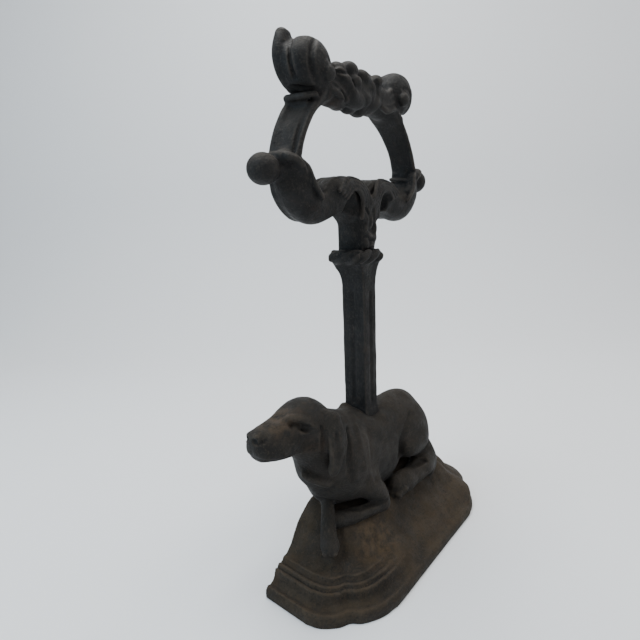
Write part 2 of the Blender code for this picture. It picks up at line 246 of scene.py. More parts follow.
def value_noise(points, size, seed):
    """Smooth noise from -1 to 1 at each point, with features of about the given size."""
    side = 24
    lattice = np.random.default_rng(seed).uniform(-1, 1, (side, side, side))
    place = points / size + 100.0
    base = np.floor(place).astype(int)
    part = place - base
    part = part * part * (3 - 2 * part)
    found = 0.0
    for i in (0, 1):
        for j in (0, 1):
            for k in (0, 1):
                weight = np.prod(np.where([i, j, k], part, 1 - part), axis=1)
                found = found + weight * lattice[tuple((base + [i, j, k]).T % side)]
    return found


def vertex_normals(points, quads):
    normals = np.zeros_like(points)
    across = np.cross(points[quads[:, 2]] - points[quads[:, 0]],
                      points[quads[:, 3]] - points[quads[:, 1]])
    for corner in range(4):
        np.add.at(normals, quads[:, corner], across)
    return normals / np.maximum(np.linalg.norm(normals, axis=1), 1e-9)[:, None]


def relax(points, quads, rounds, amount=0.5):
    """Evens out the net by moving each vertex part of the way to its neighbours' middle."""
    for _ in range(rounds):
        total, count = np.zeros_like(points), np.zeros(len(points))
        for a, b in ((0, 1), (1, 2), (2, 3), (3, 0)):
            np.add.at(total, quads[:, a], points[quads[:, b]])
            np.add.at(total, quads[:, b], points[quads[:, a]])
            np.add.at(count, quads[:, a], 1)
            np.add.at(count, quads[:, b], 1)
        points = points + amount * (total / count[:, None] - points)
    return points


# Cast skin: (feature size in mm, height in mm) of each layer of roughness.
CAST_SKIN = ((14.0, 0.22), (5.0, 0.12), (2.2, 0.07))


def casting(name, field, node, material, rounds=2, strength=1.0, seed=1, shape=None):
    """Meshes the field, gives it a cast skin and puts it in the CAD node's place."""
    points, quads = field.mesh()
    points = relax(points, quads, rounds)
    normals = vertex_normals(points, quads)
    rise = sum(height * value_noise(points, size, seed + 7 * i)
               for i, (size, height) in enumerate(CAST_SKIN))
    keep_flat = np.clip((-points[:, 1] - 0.2) / 2.0, 0.15, 1.0) * np.clip(points[:, 2] / 2.0, 0, 1)
    points = points + normals * (rise * strength * keep_flat)[:, None]
    points = shape(points) if shape else points
    points[:, 1] = np.minimum(points[:, 1], -0.05)
    points[:, 2] = np.maximum(points[:, 2], 0.0)
    mesh = bpy.data.meshes.new(name)
    mesh.from_pydata((points * MM + ORIGIN).tolist(), [], quads.tolist())
    mesh.validate()
    mesh.shade_smooth()
    piece = bpy.data.objects.new(name, mesh)
    bpy.context.scene.collection.objects.link(piece)
    mesh.materials.append(material)
    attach(piece, "root")
    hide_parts(node)


# ---- Iron -----------------------------------------------
# Colour of the dark specks in the iron, and of the painted shade in its hollows and under faces that
# look down.
DARK_SPECK_AND_SHADE = (0.006, 0.006, 0.006)
UNDERSIDE_SHADE_SHARE = 0.5       # how far faces that look down are darkened with painted shade
BUMP_STRENGTH, BUMP_HEIGHT = 0.75, 0.0009


def iron(name, base, dark, dust, rust, dust_share, rust_share, roughness, sheen=0.28, metallic=0.10,
         wear=0.5, patch=None):
    """Old cast iron: mottled dark metal, dust on ledges, rust patches and rubbed edges, with painted
    shade in the hollows and on the faces that look down.

    patch = (middle, reach, colour) is a spot with a tint of its own, in the field's millimetres.
    """
    material = bpy.data.materials.new(name)
    material.use_nodes = True
    nodes, links = material.node_tree.nodes, material.node_tree.links
    shader = nodes["Principled BSDF"]
    place = nodes.new("ShaderNodeTexCoord").outputs["Object"]

    def noise(scale, detail=6.0, rough=0.6, distortion=0.0):
        made = nodes.new("ShaderNodeTexNoise")
        made.inputs["Scale"].default_value = scale
        made.inputs["Detail"].default_value = detail
        made.inputs["Roughness"].default_value = rough
        made.inputs["Distortion"].default_value = distortion
        links.new(place, made.inputs["Vector"])
        return made.outputs["Fac"]

    def ramp(value, low, high, to_low=0.0, to_high=1.0):
        made = nodes.new("ShaderNodeMapRange")
        made.interpolation_type = "SMOOTHSTEP"
        for key, number in (("From Min", low), ("From Max", high), ("To Min", to_low),
                            ("To Max", to_high)):
            made.inputs[key].default_value = number
        links.new(value, made.inputs["Value"])
        return made.outputs["Result"]

    def math_node(kind, a, b):
        made = nodes.new("ShaderNodeMath")
        made.operation = kind
        for socket, value in zip(made.inputs, (a, b)):
            if isinstance(value, (int, float)):
                socket.default_value = value
            else:
                links.new(value, socket)
        return made.outputs["Value"]

    def mix(share, a, b):
        made = nodes.new("ShaderNodeMix")
        made.data_type = "RGBA"
        links.new(share, made.inputs["Factor"])
        for key, value in (("A", a), ("B", b)):
            socket = [s for s in made.inputs if s.name == key and s.type == "RGBA"][0]
            if isinstance(value, tuple):
                socket.default_value = (*value, 1.0)
            else:
                links.new(value, socket)
        return [s for s in made.outputs if s.type == "RGBA"][0]

    geometry = nodes.new("ShaderNodeNewGeometry")
    apart = nodes.new("ShaderNodeSeparateXYZ")
    links.new(geometry.outputs["Normal"], apart.inputs["Vector"])
    upward = ramp(apart.outputs["Z"], 0.15, 0.95)
    edges = ramp(geometry.outputs["Pointiness"], 0.505, 0.56)
    painted_hollow_shade = ramp(geometry.outputs["Pointiness"], 0.495, 0.44)

    color = mix(ramp(noise(22.0, 7.0, 0.62), 0.38, 0.62), dark, base)
    color = mix(math_node("MULTIPLY", ramp(noise(240.0, 3.0), 0.5, 0.75), 0.35), color, dust)
    color = mix(math_node("MULTIPLY", ramp(noise(680.0, 3.0, 0.7), 0.54, 0.66), 0.42), color, dust)
    color = mix(math_node("MULTIPLY", ramp(noise(560.0, 3.0, 0.7), 0.47, 0.36), 0.60), color, DARK_SPECK_AND_SHADE)
    dusty = math_node("MULTIPLY", upward, ramp(noise(55.0, 8.0, 0.65), 0.38, 0.66))
    color = mix(math_node("MULTIPLY", dusty, dust_share), color, dust)
    # Painted shade: the hollows are darkened.
    color = mix(math_node("MULTIPLY", painted_hollow_shade, 0.8), color, DARK_SPECK_AND_SHADE)
    rubbed = ramp(geometry.outputs["Pointiness"], 0.506, 0.535)
    rubbed = math_node("MULTIPLY", rubbed, ramp(noise(140.0, 6.0, 0.7), 0.34, 0.56, 0.35, 1.0))
    color = mix(math_node("MULTIPLY", rubbed, wear), color, dust)
    # Painted shade: faces that look down are darkened.
    painted_under_shade = ramp(apart.outputs["Z"], 0.10, -0.65)
    color = mix(math_node("MULTIPLY", painted_under_shade, UNDERSIDE_SHADE_SHARE), color, DARK_SPECK_AND_SHADE)
    if patch:
        center, reach, tint = patch
        away = nodes.new("ShaderNodeVectorMath")
        away.operation = "DISTANCE"
        links.new(place, away.inputs[0])
        away.inputs[1].default_value = tuple(ORIGIN + np.array(center) * MM)
        near = ramp(away.outputs["Value"], reach * MM, 0.3 * reach * MM)
        near = math_node("MULTIPLY", near, ramp(noise(160.0, 8.0, 0.7), 0.36, 0.62))
        color = mix(math_node("MULTIPLY", near, 0.75), color, tint)
    rusty = ramp(noise(34.0, 9.0, 0.7, 0.4), 0.56, 0.74)
    rusty = math_node("MAXIMUM", rusty, math_node("MULTIPLY", edges, ramp(noise(70.0), 0.45, 0.7)))
    color = mix(math_node("MULTIPLY", rusty, rust_share), color, rust)
    links.new(color, shader.inputs["Base Color"])

    shine = ramp(noise(120.0, 5.0), 0.3, 0.7, roughness - 0.10, roughness + 0.12)
    shine = math_node("ADD", shine, math_node("MULTIPLY", dusty, 0.18))
    shine = math_node("SUBTRACT", shine, math_node("MULTIPLY", edges, 0.10))
    links.new(shine, shader.inputs["Roughness"])
    links.new(math_node("MULTIPLY", math_node("SUBTRACT", 1.0, rusty), metallic),
              shader.inputs["Metallic"])
    shader.inputs["Specular IOR Level"].default_value = sheen

    height = math_node("ADD", math_node("MULTIPLY", noise(900.0, 4.0, 0.7), 0.6),
                       math_node("MULTIPLY", noise(330.0, 5.0, 0.65), 1.1))
    pits = nodes.new("ShaderNodeTexVoronoi")
    pits.inputs["Scale"].default_value = 420.0
    links.new(place, pits.inputs["Vector"])
    pitted = math_node("MULTIPLY", ramp(pits.outputs["Distance"], 0.0, 0.28, 1.0, 0.0),
                       ramp(noise(60.0), 0.5, 0.62))
    height = math_node("SUBTRACT", height, math_node("MULTIPLY", pitted, 0.8))
    relief = nodes.new("ShaderNodeBump")
    relief.inputs["Strength"].default_value = BUMP_STRENGTH
    relief.inputs["Distance"].default_value = BUMP_HEIGHT
    links.new(height, relief.inputs["Height"])
    links.new(relief.outputs["Normal"], shader.inputs["Normal"])
    return material


GREY = dict(base=(0.0130, 0.0120, 0.0115), dark=(0.0050, 0.0050, 0.0052),
            dust=(0.056, 0.048, 0.039), rust=(0.042, 0.026, 0.017))
BROWN = dict(base=(0.031, 0.0235, 0.0155), dark=(0.018, 0.0140, 0.0100),
             dust=(0.062, 0.045, 0.028), rust=(0.064, 0.038, 0.020))
UMBER = dict(base=(0.021, 0.0168, 0.0128), dark=(0.010, 0.0088, 0.0074),
             dust=(0.050, 0.040, 0.029), rust=(0.052, 0.031, 0.018))
IRON = {
    "plinth": iron("plinth_iron", **BROWN, dust_share=0.45, rust_share=0.32, roughness=0.78, wear=0.32,
                   patch=((-44.0, -47.0, 27.0), 30.0, (0.078, 0.052, 0.028))),
    "dog": iron("dog_iron", **UMBER, dust_share=0.24, rust_share=0.36, roughness=0.70,
                patch=((-106.0, -14.0, 138.0), 20.0, (0.060, 0.041, 0.025))),
    "column": iron("column_iron", **GREY, dust_share=0.30, rust_share=0.45, roughness=0.62,
                   sheen=0.20, metallic=0.08),
    "ring": iron("ring_iron", **GREY, dust_share=0.60, rust_share=0.40, roughness=0.60, sheen=0.22),
    "fastener": iron("fastener_iron", base=(0.075, 0.048, 0.034), dark=(0.028, 0.020, 0.016),
                     dust=(0.130, 0.090, 0.060), rust=(0.150, 0.062, 0.024), dust_share=0.3,
                     rust_share=0.6, roughness=0.68, metallic=0.6),
}


# ---- Plinth ---------------------------------------------
PLINTH_CELL = 0.93
CORNER_X, CORNER_Y = 69.0, -43.0        # where the canted corner leaves the front and the end
WALL, HOLLOW_TOP = 5.0, 44.0
ROD_HOLE, SCREW_HOLE = 4.5, 2.8         # radii
TOP_Z = PLINTH_HIGH.z / MM
# The mound above the mouldings, as (inset from the foot, height).
MOUND = [(31.5, 31.7), (37.0, 39.3), (43.0, 45.0), (49.0, 50.0), (54.0, 52.2), (60.0, TOP_Z)]
# The side's slope, with its ridges.
SLOPE = np.array([(0.0, 0.0), (0.0, 5.0), (1.2, 7.2), (2.6, 8.4), (3.8, 8.0), (4.6, 6.7), (6.4, 6.5),
                  (7.8, 8.2), (9.0, 10.6), (9.8, 13.4), (10.4, 16.0), (11.6, 16.9), (12.6, 15.5),
                  (13.4, 17.2), (14.2, 19.0), (15.4, 19.1), (16.2, 17.5), (17.8, 17.2), (18.8, 19.4),
                  (19.8, 21.4), (21.0, 21.2), (21.8, 19.9), (24.2, 21.2), (28.0, 25.6), *MOUND])
# The front's slope, where the ridges have faded away.
SOFT_SLOPE = np.array([(0.0, 0.0), (0.0, 4.6), (1.6, 6.4), (3.6, 7.4), (5.4, 7.6), (8.0, 9.2),
                       (11.0, 12.4), (14.0, 15.6), (17.0, 17.9), (20.0, 19.8), (24.0, 22.2),
                       (28.0, 26.2), *MOUND])


def corner_bulge(t):
    """How far the canted corner stands out of a straight line: two lobes with a dip between."""
    t = np.clip(t, 0.0, 1.0)
    return 5.0 * np.maximum(np.sin(math.pi * t), 0.0) ** 0.7 - 2.2 * np.exp(-((t - 0.45) / 0.09) ** 2)


def plan_depth(x, y):
    """How far a point lies inside the plinth's foot in plan."""
    cant = np.array([END_X - CORNER_X, FRONT_Y - CORNER_Y])
    length = np.linalg.norm(cant)
    along = cant / length
    inward = np.array([-along[1], along[0]])
    from_end_x, from_end_y = -np.abs(x) + END_X, y - CORNER_Y
    straight = from_end_x * inward[0] + from_end_y * inward[1]
    slide_end = (1.0 - inward[0]) / inward[1]
    slide_front = (1.0 - inward[1]) / inward[0]
    inset = np.clip(straight, 0.0, 60.0)
    begin = inset * along[0] + inset * slide_end * along[1]
    close = length + inset * slide_front * along[0] + inset * along[1]
    position = (from_end_x * along[0] + from_end_y * along[1] - begin) / (close - begin)
    cant_depth = straight + corner_bulge(position)
    return smooth_min(smooth_min(from_end_x, cant_depth, 5.0), y - FRONT_Y, 6.0)


def slope_distance(depth, heights, slope=SLOPE):
    """Distance to the slope's profile for depths in plan (2-D) at each height."""
    profile = np.vstack([slope, (90.0, TOP_Z)])
    samples = np.arange(-30.0, 100.0, 0.25)
    layers = []
    for height in heights:
        best = np.full(samples.shape, 1e9)
        for a, b in zip(profile, profile[1:]):
            way = b - a
            t = np.clip(((samples - a[0]) * way[0] + (height - a[1]) * way[1]) / (way @ way), 0, 1)
            best = np.minimum(best, np.hypot(samples - a[0] - t * way[0], height - a[1] - t * way[1]))
        level = np.interp(samples, profile[:, 0] + 1e-6 * np.arange(len(profile)), profile[:, 1])
        inside = (samples > 0) & (height < level)
        layers.append(np.interp(depth, samples, np.where(inside, -best, best)))
    return np.stack(layers, -1)


def plinth_measure(x, y, z):
    """Signed distance to the plinth without its hollow."""
    depth = plan_depth(x[:, :, 0], y[:, :, 0])
    heights = z[0, 0, :]
    foot = slope_distance(depth, heights)
    faded = 0.82 * ramp_between(x, -62.0, -30.0)
    foot = foot * (1 - faded) + slope_distance(depth, heights, SOFT_SLOPE) * faded
    # The mound's right-hand end stands further out over its foot.
    fuller = slope_distance(depth + 9.0 * ramp_between(x[:, :, 0], 50.0, 90.0), heights, SOFT_SLOPE)
    fuller = np.maximum(fuller, 1.6 - depth[:, :, None])
    ground = 0.40 * np.sin(x / 7.3 + 1.0) * np.sin(y / 5.1) + 0.30 * np.sin(x / 3.7 + y / 4.4)
    return smooth_min(foot, fuller, 1.0) + ground * np.clip((z - 22.0) / 6.0, 0.0, 1.0)


def build_plinth():
    field = Field((-END_X - 4, FRONT_Y - 4, -3.1), (END_X + 4, 3.1, TOP_Z + 3), PLINTH_CELL)
    x, y, z = field.grid()
    solid = plinth_measure(x, y, z)
    solid = np.maximum(np.maximum(solid - 0.1, -z - 0.8), y - 0.7)
    depth = plan_depth(x[:, :, 0], y[:, :, 0])
    hollow = slope_distance(depth - WALL, np.maximum(z[0, 0, :] + 3.0, 0.5))
    hollow = np.maximum(np.maximum(hollow, z - HOLLOW_TOP), y + WALL)
    field.d = (-smooth_min(-solid, hollow, 1.5)).astype(np.float32)
    for node in ("tie_rod", "fixing_screw_front", "fixing_screw_rear"):
        low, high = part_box(node)
        x, y, _ = ((np.array(low) + np.array(high)) / 2 - ORIGIN) / MM
        radius = ROD_HOLE if node == "tie_rod" else SCREW_HOLE
        field.carve(tube((x, y, 40.0, radius), (x, y, 60.0, radius), curved=False))
    casting("plinth_casting", field, "plinth", IRON["plinth"], rounds=1, strength=0.8, seed=3)


# ---- Dog ------------------------------------------------
DOG_CELL = 0.85
MUZZLE_Y, JAW_Y = -11.5, -12.0      # middles of the muzzle and of the jaw
MOUTH = ((-127.5, 0, 119.6), (-124.5, 5.5, 117.8), (-116.0, 10.6, 115.4), (-107.0, 13.8, 115.0),
         (-101.0, 15.4, 118.0))     # right half, as (x, distance from the middle, z)
FLAP = ((-0.30, -0.94, 0.12), 2.0)  # the ear is this many times thinner along this way


def build_dog():
    field = Field((-132, -54, 26), (76, 3, 150), DOG_CELL)
    add, carve = field.add, field.carve
    # Trunk.
    add(blob((-50, -17, 80.5), (27, 21, 29)))
    add(blob((-21, -17, 82.5), (41, 22, 30)), 8)
    add(blob((14, -17.5, 87.0), (35, 20, 27)), 8)
    add(blob((36, -19, 84.5), (28, 21, 30)), 8)
    add(blob((-4, -13, 64), (42, 16, 19)), 8)
    add(blob((-5, -27.5, 69.5), (28, 12.5, 20)), 7)
    # Neck, nape and throat.
    add(tube((-48, -16, 93, 24), (-62, -15.5, 104, 21.5), (-75, -15, 114, 19)), 7)
    add(tube((-72, -15, 119, 15), (-50, -15, 110, 14.5), (-26, -13, 103, 13.5)), 7)
    add(blob((-67, -15, 93), (19, 15.5, 20), (0, 35, 0)), 6)
    # Saddle that the column stands in, rising a little against its left side.
    add(slab((COLUMN_X, COLUMN_Y, 96.5), (11.6, 12.6, 8.0), 2.5), 6)
    carve(blob((-7, -28.5, 113.0), (12, 7.0, 5.0)), 4)
    add(tube((-32, -5, 108.6, 4.4), (-25, -4.5, 111, 3.8), (-18, -4, 113.6, 3.0)), 5)
    add(tube((-18, -3, 113.4, 3.0), (-18.8, -12, 111.4, 3.0), (-18, -20, 108.8, 2.6),
             (-15, -26.6, 106, 1.8)), 4)
    # Near shoulder and upper arm.
    add(blob((-43, -29, 80), (20, 13, 26), (0, -12, 0)), 6)
    add(tube((-36, -33, 67, 12.0), (-29, -40, 56, 9.0), (-26.5, -42.5, 48, 7.6)), 5)
    # Haunch with its raised knee.
    add(blob((41, -31, 78), (22, 14, 24), (0, -15, 0)), 6)
    add(tube((44, -33, 71, 13), (32, -37.5, 70, 9.5), (25, -38.5, 70, 8.0)), 6)
    # Skull, brow, muzzle, lips and jaw.
    add(blob((-81.5, -14, 126.5), (21.0, 16.8, 18.0), (0, 12, 0)), 6)
    add(tube((-92, -13, 125, 14.8), (-106, -12, 125.2, 12.4), (-116, -11.6, 125.3, 10.8)), 5)
    for side in (-1, 1):
        add(tube((-96, JAW_Y + side * 8.5, 119, 7.2), (-109, JAW_Y + side * 7.4, 119.6, 6.6),
                 (-119, JAW_Y + side * 4.2, 120.8, 5.8)), 3)
    add(tube((-92, -12, 115.5, 8.2), (-110, -12, 116.6, 6.6), (-118, -12, 118, 4.8)), 3)
    add(slab((-122.4, MUZZLE_Y, 130.4), (4.6, 6.2, 4.6), 3.4), 2.0)
    # Brow ridge, eye socket, eyeball and lower lid.
    add(tube((-102, -17, 137.6, 1.4), (-97.5, -22.6, 137.2, 2.6), (-91.5, -27.4, 134, 2.6),
             (-85, -29.6, 129, 1.6)), 3)
    carve(tube((-100.2, -22.8, 134.2, 1.8), (-97, -25.9, 132, 3.4), (-92.8, -28.9, 129.4, 2.9),
               (-90, -30.2, 128, 1.2)), 2.4)
    add(blob((-95.6, -22.8, 131.2), (3.4, 2.2, 2.3), (0, 25, 0)), 1.0)
    add(tube((-99.4, -23.6, 131.2, 0.8), (-95.5, -27.2, 127.6, 1.0), (-90.5, -29.6, 125.4, 0.8)), 2.6)
    # Stop between the brows, nostrils, philtrum, mouth and the fold behind the lips.
    carve(tube((-104, -14, 140.4, 3.0), (-95, -14, 145.2, 2.5)), 5)
    for side in (-1, 1):
        carve(blob((-127.0, MUZZLE_Y + side * 3.4, 131.0), (2.6, 1.7, 1.9), (0, 0, side * 25)), 0.8)
        carve(tube((-125.0, MUZZLE_Y + side * 5.6, 129.2, 0.7),
                   (-120.5, MUZZLE_Y + side * 8.2, 130.6, 0.7)), 1)
    carve(tube((-127.6, MUZZLE_Y, 127.6, 0.8), (-126.4, MUZZLE_Y, 121.0, 0.9)), 0.8)
    for side in (-1, 1):
        carve(tube(*((x, MUZZLE_Y + side * y, z, 1.0) for x, y, z in MOUTH)), 1.3)
    carve(tube((-108.5, -23.6, 132, 0.8), (-104.6, -26.8, 126, 1.3), (-103.8, -27.6, 120.5, 1.2),
               (-106.5, -26, 115.5, 0.8)), 2.4)
    carve(blob((-93.5, -31.2, 118.5), (8.5, 4.4, 8.0), (0, 35, 0)), 3.5)
    # Fold where the head joins the neck.
    carve(tube((-90.5, -19.5, 97.5, 0.8), (-86, -25.5, 93.5, 1.6), (-80.5, -30, 89.5, 1.7),
               (-72, -33.8, 86, 1.3)), 3)
    add(tube((-87.5, -20, 90.5, 2.0), (-82.5, -25.6, 86.5, 2.6), (-75, -30, 82, 2.2)), 6)
    # Ear: the channel round it, the hanging flap, its rolled front edge and middle fold.
    carve(tube((-80.8, -31, 127, 1.3), (-79.4, -33.4, 119, 2.0), (-80.6, -34.6, 109, 2.0),
               (-80.5, -33.6, 99, 1.8), (-76.8, -33.2, 90, 1.5), (-72, -36.4, 92.5, 1.3),
               (-68, -38.4, 103, 1.4), (-63.6, -37.8, 114, 1.9), (-60.6, -34.6, 122.5, 2.3),
               (-62.6, -31, 130.5, 2.4), (-67.5, -28.6, 135.4, 1.6)), 1.2)
    carve(tube((-81.2, -33, 121, 1.6), (-81.8, -34.6, 110, 2.6), (-81.2, -33.4, 101, 2.2)), 1.6)
    add(tube((-73, -27.5, 130.5, 6.0), (-70.3, -31.8, 126, 7.2), (-70.8, -35.6, 117.5, 7.2),
             (-73.2, -37.8, 107.5, 6.3), (-75.4, -37.6, 99, 4.8), (-75.6, -36, 93.6, 3.6),
             flat=FLAP), 0.6)
    add(blob((-67.0, -30.5, 126.5), (7.0, 4.4, 6.6), (0, 25, 0)), 1.4)
    add(blob((-75.4, -37.0, 97.0), (5.6, 3.4, 6.0), (0, 8, 0)), 1.2)
    add(tube((-76.8, -35, 118, 1.0), (-78.4, -37.6, 108.5, 1.6), (-78.6, -38, 100, 1.6),
             (-76.2, -37.2, 92.6, 1.3)), 1.2)
    carve(tube((-72.4, -37.4, 121, 1.0), (-74.6, -40.6, 112, 1.9), (-75.8, -41.2, 102, 1.5)), 1.8)
    # Shoulder, neck and flank creases, and the raised edge of the shoulder blade.
    carve(tube((-53, -31.5, 115, 0.8), (-58, -36.4, 103, 1.5), (-60, -38, 93, 1.4),
               (-58.5, -39.5, 80, 0.8)), 3.5)
    add(tube((-40.5, -30, 112, 1.6), (-46.5, -37.2, 100.5, 2.4), (-45.5, -40, 85, 1.8)), 4)
    carve(tube((-26.5, -33.4, 104, 0.8), (-33.5, -40, 94, 1.4), (-36, -42.6, 83, 1.2),
               (-35, -44.5, 71, 0.8)), 3.5)
    carve(tube((28, -38.4, 99, 1.0), (18.5, -39.6, 89, 2.2), (14, -38.5, 80, 2.8),
               (12.5, -36, 70, 3.0)), 4)
    # Feet: folded near foreleg, stretched far foreleg, near hind foot, tail.
    add(tube((-27, -42.5, 46.5, 7.2), (-38, -40.8, 46.5, 5.2), (-52, -35.8, 47, 5.6),
             (-66, -29.5, 48.5, 6.0)), 1.5)
    carve(tube((-78, -13, 66.5, 1.4), (-72.5, -22, 65.5, 1.8), (-66.5, -27, 62.5, 2.4),
               (-60, -31.4, 57, 3.0), (-50, -38.4, 53.6, 3.0), (-42, -44.4, 53.2, 2.8),
               (-34, -48.8, 54, 1.6)), 1.2)
    carve(tube((-44, -40.5, 52.6, 2.6), (-37.8, -44.2, 52, 2.3), (-34.5, -47.2, 51.8, 2.2),
               (-30.5, -49.8, 52, 2.0), (-25.5, -50.8, 53.2, 1.3)), 0.8)
    add(tube((-62, -18, 64, 6.0), (-68, -23.4, 58.5, 5.0), (-73.8, -27.8, 50.5, 5.3),
             (-78.2, -31.6, 43.5, 5.9), (-81.2, -34.8, 39.4, 6.2)), 1.5)
    add(blob((-81.4, -35.4, 37.6), (6.6, 6.4, 5.0)), 2)
    for step in (-1.0, 0.0, 1.0):
        x, y = -85.6 - 3.0 * step * 0.64, -38.4 + 3.0 * step * 0.77
        add(tube((x + 3.5, y + 2.8, 39.6, 2.4), (x + 0.6, y + 0.6, 36.0, 2.6)), 0.8)
    add(tube((54, -35, 50, 9.0), (38, -39.5, 46.5, 7.6), (24, -41.5, 45.4, 8.2), (12, -42, 46, 9.4),
             (2, -40.5, 46.6, 8.4)), 3)
    for step in (-1.0, 0.0, 1.0):
        add(tube((2, -42.5 + 4.8 * step, 46.0, 3.6), (-4.6, -41.5 + 4.8 * step, 43.0, 3.3)), 0.8)
    add(blob((55, -37.5, 46), (11, 7.5, 9)), 3)
    add(tube((57, -32, 62, 8.5), (61, -35.5, 51, 8.6), (61, -37.5, 42, 8.0)), 4)
    add(tube((28, -43, 45.5, 8.0), (44, -42.5, 46.5, 9.4), (58, -39.5, 46.5, 8.0)), 4)
    add(tube((60, -15, 72, 6.0), (66, -24, 58, 5.4), (68, -33.5, 47, 5.4), (62, -41, 41, 5.2),
             (51, -45, 38, 4.6)), 4)
    # Dark hollow between the knee and the foot.
    carve(tube((10, -41.5, 65, 2.4), (19, -43.5, 60.4, 4.0), (30, -44.5, 56.4, 4.0),
               (40, -47, 53.5, 2.0)), 1.8)
    # Where it meets the mound: a cast fillet, sunk a little into the plinth; then the flat back.
    mound = plinth_measure(*field.grid())
    joined = smooth_min(field.d, mound, 2.4)
    field.d = np.maximum(np.maximum(joined, -mound - 0.9), joined - mound + 0.22).astype(np.float32)
    field.limit(lambda x, y, z: y - 0.6)
    casting("dog_casting", field, "dog", IRON["dog"], seed=11)


# ---- Column ---------------------------------------------
COLUMN_CELL = 0.6
COLUMN_FOOT = 90.3
SHAFT_X, SHAFT_Y, SHAFT_EDGE = 8.4, 10.4, 1.2       # half widths, and the edges' radius
RIM_LEFT, RIM_RIGHT, RIM_FRONT = 14.9, 9.3, 11.1    # from the column's axis to the rope's core
RIM_Y, RIM_Z, RIM_CORNER = COLUMN_Y - 0.2, COLLAR_TOP - 0.8, 2.0
ROPE_RADIUS, STRAND_HEIGHT, STRAND_LENGTH = 3.9, 1.8, 12.5


def build_column():
    field = Field((COLUMN_X - 23, -33, 88), (COLUMN_X + 19, 2, COLLAR_TOP + 7), COLUMN_CELL)
    x, y, z = field.grid()
    # Shaft, flaring into the collar and a little at its foot. The left side flares more.
    flare = np.interp(z, [108, 111, 118, 214, 219, 222.4, 225.7, 228.8, 231.6, 234],
                      [1.6, 0.9, 0.0, 0.0, 0.3, 0.7, 1.2, 1.9, 2.9, 3.2])
    wider = np.interp(z, [214, 219, 222.4, 225.7, 228.8, 231.6, 234],
                      [0, 0.2, 0.5, 1.3, 2.6, 4.2, 4.6])
    leftward = wider * ramp_between(COLUMN_X - x, 0.0, SHAFT_X)
    backward = wider * ramp_between(y - COLUMN_Y, 0.0, SHAFT_Y)
    dx = np.abs(x - COLUMN_X) - SHAFT_X - flare - leftward
    dy = np.abs(y - COLUMN_Y) - SHAFT_Y - flare - backward
    square = np.hypot(np.maximum(dx + SHAFT_EDGE, 0), np.maximum(dy + SHAFT_EDGE, 0)) - SHAFT_EDGE
    square = square + np.minimum(np.maximum(dx, dy) + SHAFT_EDGE, 0.0)
    square = np.maximum(np.maximum(square, COLUMN_FOOT - z), z - (COLLAR_TOP - 0.8))
    field.d = square.astype(np.float32)
    # Shallow flutes down the faces.
    for offset_x, offset_y in ((0, -SHAFT_Y), (-SHAFT_X, 0), (SHAFT_X, 0)):
        spot_x, spot_y = COLUMN_X + offset_x * 1.08, COLUMN_Y + offset_y * 1.06
        field.carve(tube((spot_x, spot_y, 121, 1.6), (spot_x, spot_y, 208, 1.6), curved=False), 2.0)
    # Twisted rim, laid round the collar as a rope.
    left, right = COLUMN_X - RIM_LEFT + RIM_CORNER, COLUMN_X + RIM_RIGHT - RIM_CORNER
    front = RIM_Y - RIM_FRONT + RIM_CORNER
    off_x, off_y = x - np.clip(x, left, right), y - np.clip(y, front, 12.0)
    inner = np.maximum(np.maximum(x - right, left - x), front - y)
    level = np.where(inner > 0, np.hypot(off_x, off_y), inner) - RIM_CORNER
    run = np.where(np.abs(off_y) > np.abs(off_x), (x - COLUMN_X) * np.sign(off_y),
                   -(y - RIM_Y) * np.sign(off_x))
    around = np.arctan2(z - RIM_Z, level)
    strand = np.abs(np.cos(1.5 * around + run * math.pi / STRAND_LENGTH))
    rope = np.hypot(level, z - RIM_Z) - (ROPE_RADIUS + STRAND_HEIGHT * strand)
    field.d = smooth_min(field.d, rope, 0.6).astype(np.float32)
    # Socket that the handle stands in.
    field.carve(slab((COLUMN_X, COLUMN_Y + 3, COLLAR_TOP + 4), (10.0, 15.3, 7.0), 1.0), 0.8)
    field.limit(lambda x, y, z: y - 0.4)
    casting("column_casting", field, "column", IRON["column"], strength=0.75, seed=23)


# ---- Ring handle ----------------------------------------
RING_CELL = 0.78
RING_Y, RING_HALF_Y = -11.0, 10.2
# Half of the ring's middle line as (distance from the column's axis, z, half thickness).
STRAP = ((41.0, 346.0, 6.4), (51.8, 337.0, 4.3), (60.8, 328.0, 3.6), (68.4, 318.0, 3.1),
         (73.2, 307.0, 2.9), (74.4, 297.0, 4.2), (71.0, 283.5, 7.0), (59.5, 273.8, 8.9),
         (44.5, 273.2, 9.0), (31.0, 279.2, 11.6), (16.5, 281.2, 11.2), (5.8, 272.5, 10.5))
DRAFT = 0.10            # how much wider the band gets towards the back
LEAN = 0.10             # how far the front stands to the right, as a share of the depth
LEAF_FRONT = -24.3      # the neck's leaf
LEFT_LEAF_TOP, RIGHT_LEAF_TOP = RING_TOP - 2.6, 370.0


def strap(points, edge):
    """A band along points (x, z, half thickness), square across, a little wider at the back."""
    run = smooth_run([(COLUMN_X + x, RING_Y, z, half) for x, z, half in points], 2.5)
    widest = run[:, 3].max() + 1.5
    low = run[:, :3].min(0) - (widest, RING_HALF_Y, widest)
    high = run[:, :3].max(0) + (widest, RING_HALF_Y, widest)

    def measure(x, y, z):
        best = None
        for a, b in zip(run, run[1:]):
            way_x, way_z = b[0] - a[0], b[2] - a[2]
            size = max(way_x ** 2 + way_z ** 2, 1e-6)
            t = np.clip(((x - a[0]) * way_x + (z - a[2]) * way_z) / size, 0.0, 1.0)
            gap = np.hypot(x - a[0] - t * way_x, z - a[2] - t * way_z) - (a[3] + (b[3] - a[3]) * t)
            best = gap if best is None else np.minimum(best, gap)
        side = best - (y - RING_Y) * DRAFT + edge
        face = np.abs(y - RING_Y) - RING_HALF_Y + edge
        outside = np.hypot(np.maximum(side, 0.0), np.maximum(face, 0.0))
        return outside + np.minimum(np.maximum(side, face), 0.0) - edge
    return measure, low, high


